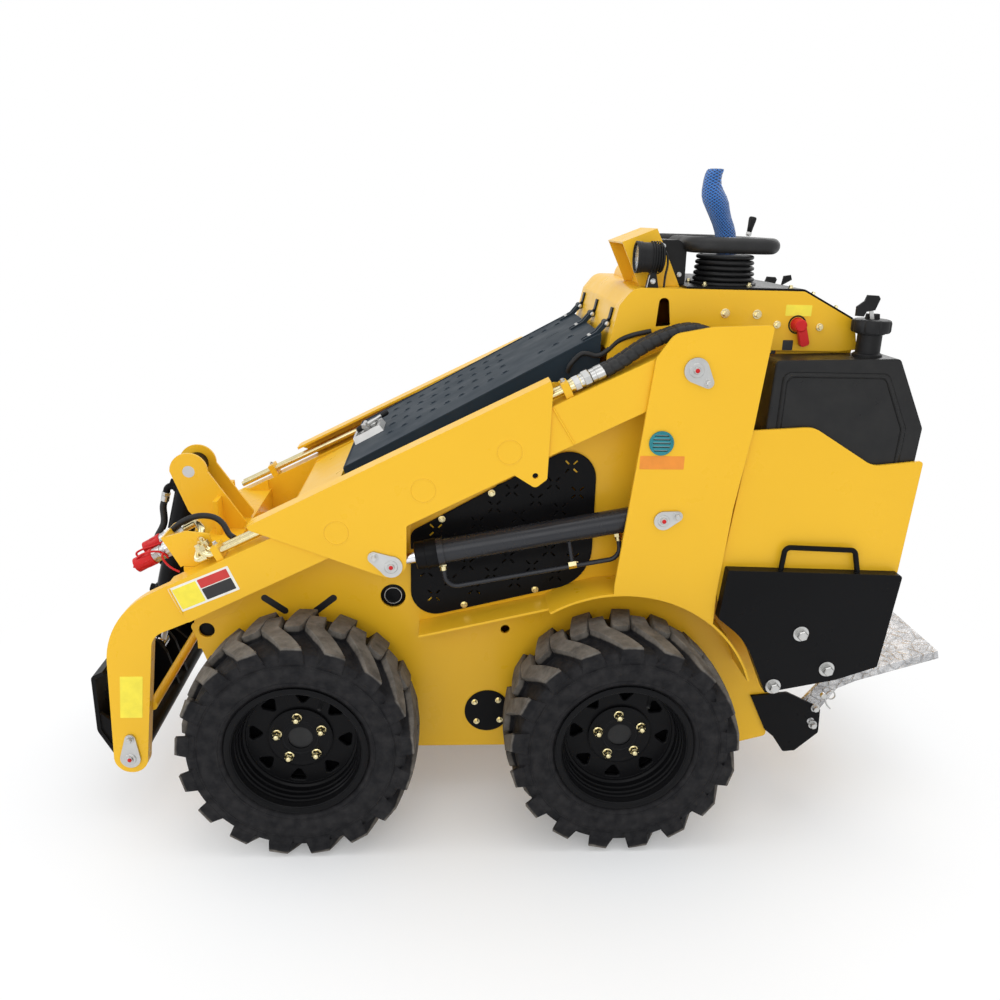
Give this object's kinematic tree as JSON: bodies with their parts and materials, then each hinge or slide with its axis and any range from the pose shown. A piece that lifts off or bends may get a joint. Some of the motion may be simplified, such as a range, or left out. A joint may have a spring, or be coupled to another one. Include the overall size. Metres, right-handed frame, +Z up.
{
  "type": "wheeled skid steer loader",
  "caption": "Compact stand-on skid steer loader with lift arms, tilting attachment coupler, wheels, side tanks and a folding rider platform.",
  "frame": {"origin": "on the floor, below the middle of the machine's bounding box", "axes": "-X is the front with the attachment coupler, +X the operator's end, -Y the machine's left, +Z up"},
  "size_m": [2.245, 1.08, 1.642],
  "materials": {
    "yellow_paint": "bright gloss enamel",
    "black_paint": "satin enamel",
    "hood_paint": "blue-black satin enamel",
    "tyre_rubber": "matt, brownish on the lugs",
    "black_plastic": "fine grain",
    "tank_plastic": "rotation-moulded",
    "soft_rubber": "matt",
    "zinc_steel": "zinc plated",
    "gold_steel": "yellow passivated",
    "chromed_steel": "polished",
    "cast_block": "as cast",
    "red_plastic": "moulded",
    "blue_net": "knitted sleeve",
    "lamp_glass": "clear",
    "teal_plastic": "moulded",
    "step_film": "crinkled film over steel"
  },
  "bodies": {
    "chassis": {"chassis_frame": "yellow_paint", "tower_right": "yellow_paint", "tower_left": "yellow_paint", "tower_pins": "zinc_steel", "console_body": "yellow_paint", "engine_block": "cast_block", "nose_panel": "yellow_paint", "rear_wing_right": "yellow_paint", "rear_wing_left": "yellow_paint", "tanks": "tank_plastic", "counterweights": "black_paint", "rear_brackets": "black_paint", "wheel_motors": "black_paint", "console_deck": "black_paint", "gauge_pod": "yellow_paint", "instrument_box": "black_plastic", "work_lamp": "black_plastic", "lamp_lens": "lamp_glass", "hand_bar": "soft_rubber", "joystick_boot": "soft_rubber", "joystick_lever": "blue_net", "side_lever": "black_plastic", "isolator_switch": "red_plastic", "side_covers": "black_paint", "hood_hinges": "black_paint", "vent_covers": "teal_plastic"},
    "hood": {"hood": "hood_paint", "hood_latch": "zinc_steel"},
    "lift_arm": {"lift_arm_right": "yellow_paint", "lift_arm_left": "yellow_paint", "cross_members": "yellow_paint", "arm_pins": "zinc_steel", "arm_tubes": "gold_steel", "tube_clamps": "yellow_paint", "arm_hoses": "soft_rubber", "coupling_bracket": "yellow_paint", "quick_couplings": "zinc_steel", "coupling_caps": "red_plastic", "coupling_hoses": "soft_rubber"},
    "lift_barrel_left": {"lift_barrel_left": "black_paint"},
    "lift_barrel_right": {"lift_barrel_right": "black_paint"},
    "lift_rod_left": {"lift_rod_left": "chromed_steel"},
    "lift_rod_right": {"lift_rod_right": "chromed_steel"},
    "tilt_barrel": {"tilt_barrel": "black_paint"},
    "tilt_rod": {"tilt_rod": "chromed_steel"},
    "coupler": {"coupler_plate": "black_paint"},
    "platform": {"platform": "step_film"},
    "wheel_front_left": {"tyre_front_left": "tyre_rubber", "rim_front_left": "black_paint"},
    "wheel_front_right": {"tyre_front_right": "tyre_rubber", "rim_front_right": "black_paint"},
    "wheel_rear_left": {"tyre_rear_left": "tyre_rubber", "rim_rear_left": "black_paint"},
    "wheel_rear_right": {"tyre_rear_right": "tyre_rubber", "rim_rear_right": "black_paint"}
  },
  "joints": [
    {"name": "lift", "type": "hinge", "parent": "chassis", "child": "lift_arm", "pos_m": [0.336, 0, 1.199], "axis": [0, 1, 0], "range_deg": [0, 62]},
    {"name": "lift_barrel_left_swing", "type": "hinge", "parent": "chassis", "child": "lift_barrel_left", "pos_m": [0.289, -0.362, 0.839], "axis": [0, 1, 0], "range_deg": [0, 58.9]},
    {"name": "lift_rod_left_slide", "type": "slide", "parent": "lift_barrel_left", "child": "lift_rod_left", "axis": [-0.983, 0, -0.1838], "range_m": [0, 0.37507]},
    {"name": "lift_barrel_right_swing", "type": "hinge", "parent": "chassis", "child": "lift_barrel_right", "pos_m": [0.289, 0.362, 0.839], "axis": [0, 1, 0], "range_deg": [0, 58.9]},
    {"name": "lift_rod_right_slide", "type": "slide", "parent": "lift_barrel_right", "child": "lift_rod_right", "axis": [-0.983, 0, -0.1838], "range_m": [0, 0.37507]},
    {"name": "tilt", "type": "hinge", "parent": "lift_arm", "child": "coupler", "pos_m": [-1.018, 0, 0.191], "axis": [0, -1, 0], "range_deg": [-15, 100]},
    {"name": "tilt_barrel_swing", "type": "hinge", "parent": "lift_arm", "child": "tilt_barrel", "pos_m": [-0.917, 0, 0.847], "axis": [0, 1, 0], "range_deg": [-0.75, 5]},
    {"name": "tilt_rod_slide", "type": "slide", "parent": "tilt_barrel", "child": "tilt_rod", "axis": [-0.2515, 0, -0.9678], "range_m": [-0.02852, 0.19008]},
    {"name": "hood_hinge", "type": "hinge", "parent": "chassis", "child": "hood", "pos_m": [0.154, 0, 1.281], "axis": [0, 1, 0], "range_deg": [0, 70]},
    {"name": "platform_fold", "type": "hinge", "parent": "chassis", "child": "platform", "pos_m": [0.776, 0, 0.222], "axis": [0, -1, 0], "range_deg": [0, 65]},
    {"name": "wheel_front_left_spin", "type": "hinge", "parent": "chassis", "child": "wheel_front_left", "pos_m": [-0.58, -0.432, 0.29], "axis": [0, -1, 0], "continuous": true},
    {"name": "wheel_front_right_spin", "type": "hinge", "parent": "chassis", "child": "wheel_front_right", "pos_m": [-0.58, 0.432, 0.29], "axis": [0, -1, 0], "continuous": true},
    {"name": "wheel_rear_left_spin", "type": "hinge", "parent": "chassis", "child": "wheel_rear_left", "pos_m": [0.21, -0.432, 0.29], "axis": [0, -1, 0], "continuous": true},
    {"name": "wheel_rear_right_spin", "type": "hinge", "parent": "chassis", "child": "wheel_rear_right", "pos_m": [0.21, 0.432, 0.29], "axis": [0, -1, 0], "continuous": true}
  ],
  "couplings": [
    {"joint": "lift_barrel_left_swing", "follows": "lift", "ratio": 0.95},
    {"joint": "lift_rod_left_slide", "follows": "lift", "m_per_rad": 0.3466},
    {"joint": "lift_barrel_right_swing", "follows": "lift", "ratio": 0.95},
    {"joint": "lift_rod_right_slide", "follows": "lift", "m_per_rad": 0.3466},
    {"joint": "tilt_barrel_swing", "follows": "tilt", "ratio": 0.05},
    {"joint": "tilt_rod_slide", "follows": "tilt", "m_per_rad": 0.1089}
  ]
}
